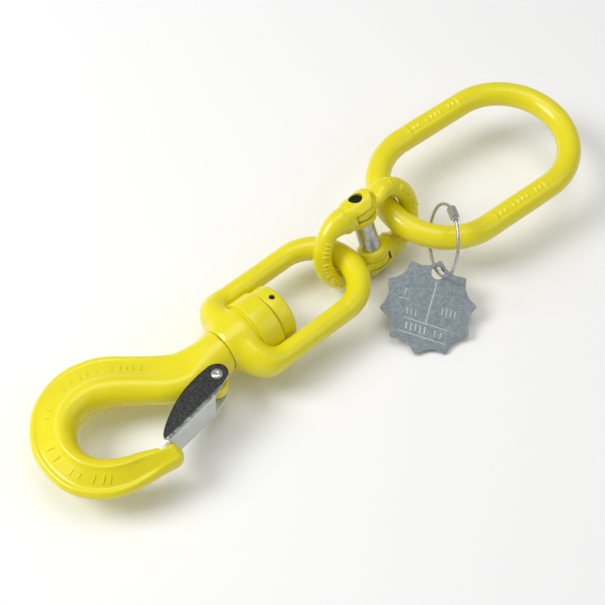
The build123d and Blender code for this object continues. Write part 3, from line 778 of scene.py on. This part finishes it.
    # threaded end inside the nut
    end = Bag()
    prof = []
    x = 35.9
    while x < 47.4:
        prof += [(x, 10.36), (x + 0.75, 9.75)]
        x += 1.5
    revolve_x(prof + [(47.5, 9.4)], 72, end)
    return me, end.mesh("thread")


hk, thread = hook_mesh()
hook = place(hk, "hook_forged", SWIVEL, [YELLOW], 40)
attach(hook, "hook")
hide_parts("hook")
th = place(thread, "hook_thread", SWIVEL, [STEEL_IN], 30)
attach(th, "hook")

# ------------------------------------------------------------------ latch
CHEEK_PTS = [(-12.2, -22.6), (-10.0, -19.2), (-10.0, -15.0), (-12.4, -11.8), (-16.5, -10.0), (-21.0, -10.0), (-29.5, -10.9),
             (-38.5, -12.7), (-46.0, -15.2), (-53.5, -18.6), (-60.0, -22.2), (-65.8, -26.0), (-69.6, -29.6), (-70.6, -32.0)]
WEB_A, WEB_B = (-27.5, -28.4), (-68.0, -34.0)


def prism(pts, z0, z1, bag):
    n = len(pts)
    v = [(x, y, z0) for x, y in pts] + [(x, y, z1) for x, y in pts]
    f = [tuple(range(n))[::-1], tuple(range(n, 2 * n))] + [(i, (i + 1) % n, n + (i + 1) % n, n + i) for i in range(n)]
    return bag.add(v, f)


def latch_mesh():
    W2 = LATCH_W / 2
    out = spline(np.array(CHEEK_PTS), 6)[:, :2]
    pts = [tuple(p) for p in out] + [WEB_B, WEB_A, (-20.0, -25.6)]
    bag = Bag()
    prism(pts, W2 - LATCH_T, W2, bag)
    prism(pts, -W2, -W2 + LATCH_T, bag)
    ang = math.degrees(math.atan2(WEB_A[1] - WEB_B[1], WEB_A[0] - WEB_B[0]))
    M = rot(ang, 0, 0)
    ln = math.hypot(WEB_A[0] - WEB_B[0], WEB_A[1] - WEB_B[1])
    mid_ = np.array([(WEB_A[0] + WEB_B[0]) / 2, (WEB_A[1] + WEB_B[1]) / 2, 0])
    box(mid_ + M @ np.array([0, LATCH_T / 2, 0]), (ln, LATCH_T, LATCH_W), M, bag)
    box(np.array([WEB_B[0], WEB_B[1], 0]) + M @ np.array([-2.6, LATCH_T / 2, 0]), (6.4, LATCH_T, 15.0), M, bag)
    me = fuse(bag.mesh("latch"), 0.33, 8, 0.5)
    push(me, lambda c, n: np.full(len(c), 0.13))
    me = cut(me, [cyl((LATCH_X, LATCH_Y, -40), (LATCH_X, LATCH_Y, 40), RIVET_R + 0.02, 48)])
    co = local_points(me)
    idx = []
    along = np.array([WEB_A[0] - WEB_B[0], WEB_A[1] - WEB_B[1]]) / ln
    for p in me.polygons:
        c = p.center
        n = p.normal
        off = (c.y - WEB_B[1]) * along[0] - (c.x - WEB_B[0]) * along[1]
        # upper cheek faces away from the web get the painted shade (1); its rim and the strip by the web get the
        # painted highlight band (2); all other faces are plain zinc (0)
        if c.z > W2 - LATCH_T and n.z > 0.82:
            idx.append(1 if off > 2.1 else 2)
        else:
            idx.append(2 if c.z > W2 - LATCH_T and n.z > 0.25 else 0)
    me.materials.append(None)
    me.materials.append(None)
    me.materials.append(None)
    me.polygons.foreach_set("material_index", idx)
    return me, idx


lm, lidx = latch_mesh()
# the latch carries plain zinc, the upper cheek's painted shade and the painted highlight band
latch = place(lm, "latch_sheet", SWIVEL, [ZINC, CHEEK_PAINTED_SHADE, BEND_PAINTED_HIGHLIGHT], 30)
latch.data.polygons.foreach_set("material_index", lidx)
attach(latch, "latch")
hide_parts("latch")


def arc_pts(cx, cr, r, a0, a1, n=7):
    return [(cx + r * math.cos(math.radians(a0 + (a1 - a0) * k / (n - 1))), cr + r * math.sin(math.radians(a0 + (a1 - a0) * k / (n - 1)))) for k in range(n)]


# rivet: a shank with two low domes, each with the punch's dimple
W2_ = LATCH_W / 2
dome = [(W2_ + 0.05, 2.5), (W2_ + 0.08, 3.75)] + [(W2_ + 0.10 + 1.45 * math.sin(q), 1.15 + 2.65 * math.cos(q)) for q in np.linspace(0.12, 1.5, 12)]
dome += [(W2_ + 1.38, 0.85), (W2_ + 1.05, 0.55), (W2_ + 0.85, 0.02)]
prof_ = [(-x, r) for x, r in dome[::-1]] + [(-9.0, 2.48), (0.0, 2.48), (9.0, 2.48)] + dome
rb = Bag()
ang_ = np.linspace(0, 2 * np.pi, 72, endpoint=False)
rb.rings([[(LATCH_X + r * math.cos(t), LATCH_Y + r * math.sin(t), x) for t in ang_] for x, r in prof_])
rivet = place(rb.mesh("rivet"), "latch_rivet_headed", SWIVEL, [BRIGHT], 50)
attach(rivet, "hook")
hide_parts("latch_rivet")

# nut and bearing cover: turned, painted over, so every edge is soft
NR, N0, N1 = 19.6, 37.72, 49.18
npf = [(N0, 10.42), (N0, NR - 1.0)] + arc_pts(N0 + 0.9, NR - 0.9, 0.9, 180, 90) + arc_pts(N1 - 2.2, NR - 2.2, 2.2, 90, 0) + [(N1, 14.0), (N1, 11.2), (N1 - 0.7, 10.42)]
nm = cut(lathe(npf).mesh("nut"), [cyl((43.6, 0, -40), (43.6, 0, 40), 2.02, 40)])
nm = push(nm, lambda c, n: np.where(np.hypot(c[:, 1], c[:, 2]) > 18.0, 0.10 * ripple(c, 14, 31) - 0.06, 0.0))
nut = place(nm, "swivel_nut_turned", SWIVEL, [YELLOW], 50)
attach(nut, "hook")
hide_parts("swivel_nut")
C0, C1, CIR = 21.54, 37.18, 19.0
cpf = [(C0, CIR), (C0, COVER_R - 0.5)] + arc_pts(C0 + 0.5, COVER_R - 0.5, 0.5, 180, 90, 5) + [(26.0, COVER_R), (31.0, COVER_R)] + arc_pts(C1 - 1.5, COVER_R - 1.5, 1.5, 90, 0) + [(C1, CIR)]
cover = place(push(lathe(cpf).mesh("cover"), lambda c, n: np.where(np.hypot(c[:, 1], c[:, 2]) > 20.0, 0.08 * ripple(c, 14, 32) - 0.05, 0.0)),
              "bearing_cover_turned", SWIVEL, [YELLOW], 50)
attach(cover, "bow")
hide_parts("bearing_cover")


# ------------------------------------------------------------------ tag
def tag_mesh():
    bag = Bag()
    pts = []
    for k in range(10):
        for j in range(24):
            t = math.radians(36 * k - 18 + 36 * j / 24)
            # scallop between two points, centred on the middle of this span
            d = t - math.radians(36 * k)
            # radius of the scallop's circle seen from the tag's middle; spans run tip to tip about 36k
            tip = TAG_R
            dd = abs(((t - math.radians(18)) / math.radians(36)) - round((t - math.radians(18)) / math.radians(36))) * math.radians(36)
            c0, rc = 42.9, 14.6
            disc = rc * rc - (c0 * math.sin(dd)) ** 2
            r = c0 * math.cos(dd) - math.sqrt(disc) if disc > 0 else tip
            r = min(r, tip)
            pts.append((r * math.cos(t), r * math.sin(t)))
    pts = np.array(pts)
    # ease the points
    for _ in range(2):
        pts = 0.5 * pts + 0.25 * (np.roll(pts, 1, 0) + np.roll(pts, -1, 0))
    n = len(pts)
    # rings: outline, bevel, then the face, down to the hole's edge, on both sides
    hc = np.array([TAG_HOLE_U, 0.0])
    hole = []
    for p in pts:
        v = p - hc
        v /= np.linalg.norm(v)
        hole.append(hc + v * TAG_HOLE)
    hole = np.array(hole)
    order = np.argsort(np.unwrap(np.arctan2(*(hole - hc).T[::-1])))
    h = TAG_T / 2
    def ringz(P, z):
        return np.concatenate([P, np.full((len(P), 1), z)], 1)
    din = (hole - pts) / np.linalg.norm(hole - pts, axis=1)[:, None]
    R = [ringz(hole, -h + 0.2), ringz(hole - din * 0.2, -h), ringz(pts + din * 3.0, -h), ringz(pts + din * 0.35, -h), ringz(pts, -h + 0.3),
         ringz(pts, h - 0.3), ringz(pts + din * 0.35, h), ringz(pts + din * 3.0, h), ringz(hole - din * 0.2, h), ringz(hole, h - 0.2)]
    bag.rings(np.array(R), closed=True)
    me = bag.mesh("tag")
    marks = Bag()

    def line(p, q, wd, zt=0.05):
        p, q = np.array(p, float), np.array(q, float)
        d = q - p
        L = np.linalg.norm(d)
        ang = math.degrees(math.atan2(d[1], d[0]))
        c = (p + q) / 2
        box((c[0], c[1], h + zt - 0.15), (L, wd, 0.3), rot(ang, 0, 0), marks)

    line((18.4, -0.9), (-10.6, -0.9), 0.55)
    line((-11.4, 15.1), (-11.4, -16.7), 0.45)
    line((-20.8, 15.3), (-20.8, -17.3), 0.45)
    line((0.5, 21.0), (1.0, 15.0), 0.4)
    # plain strokes instead of lettering
    for k in range(5):
        line((-13.6, 11.6 - 3.2 * k), (-18.4, 11.0 - 3.2 * k), 0.7)
    for k in range(2):
        line((-13.8, -8.6 - 4.2 * k), (-18.2, -8.6 - 4.2 * k), 0.55)
    for k in range(3):
        line((-4.4, 7.6 + 3.0 * k), (-8.6, 7.0 + 3.0 * k), 0.5)
    for k in range(4):
        line((2.6, -9.4 - 3.0 * k), (-2.2, -9.8 - 3.0 * k), 0.5)
    line((3.0, 17.8), (8.0, 17.6), 0.5)
    return me, marks.mesh("tag_marks")


tm, mm = tag_mesh()
tag = place(tm, "tag_sheet", TAGF, [TAGM], 40)
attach(tag, "tag")
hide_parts("tag")
marks = place(mm, "tag_scribed_marks", TAGF, [SCRIBE], 40)
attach(marks, "tag")

for n_ in ("coupling_pin", "coupling_sleeve", "cable_barrel", "cable_stud", "grease_seal"):
    smooth_shade(nodes[n_].data, 35)

# ------------------------------------------------------------------ floor, light
fm, fnt, fp = material("floor")
fnz = tex(fnt, "ShaderNodeTexNoise", 3.0, 2)
fr = ramp(fnt, fnz, [(0.3, grey(0.955)), (0.7, grey(0.965))])
fnt.links.new(fr.outputs["Color"], fp.inputs["Base Color"])
fp.inputs["Roughness"].default_value = 0.9
fme = bpy.data.meshes.new("floor")
fme.from_pydata([(-6, -6, -0.0005), (6, -6, -0.0005), (6, 6, -0.0005), (-6, 6, -0.0005)], [], [(0, 1, 2, 3)])
floor = bpy.data.objects.new("floor", fme)
fme.materials.append(fm)
bpy.context.scene.collection.objects.link(floor)


def area(name, at, look, size, watts, size_y=None):
    d = bpy.data.lights.new(name, "AREA")
    d.energy = watts
    d.shape = "RECTANGLE"
    d.size, d.size_y = size, size_y or size
    o = bpy.data.objects.new(name, d)
    bpy.context.scene.collection.objects.link(o)
    o.location = at
    o.rotation_euler = (Vector(look) - Vector(at)).to_track_quat("-Z", "Y").to_euler()
    return o


area("key", (-1.1, 0.75, 1.35), (0, 0, 0), 0.8, 21)
area("fill", (0.9, -1.0, 1.2), (0, 0, 0), 1.0, 2.5)
area("top", (0.1, 0.3, 1.9), (0, 0, 0), 1.1, 8)
w = bpy.data.worlds.new("world")
bpy.context.scene.world = w
w.use_nodes = True
w.node_tree.nodes["Background"].inputs[0].default_value = (1, 1, 1, 1)
w.node_tree.nodes["Background"].inputs[1].default_value = 0.35
bpy.context.scene.view_settings.view_transform = "Standard"
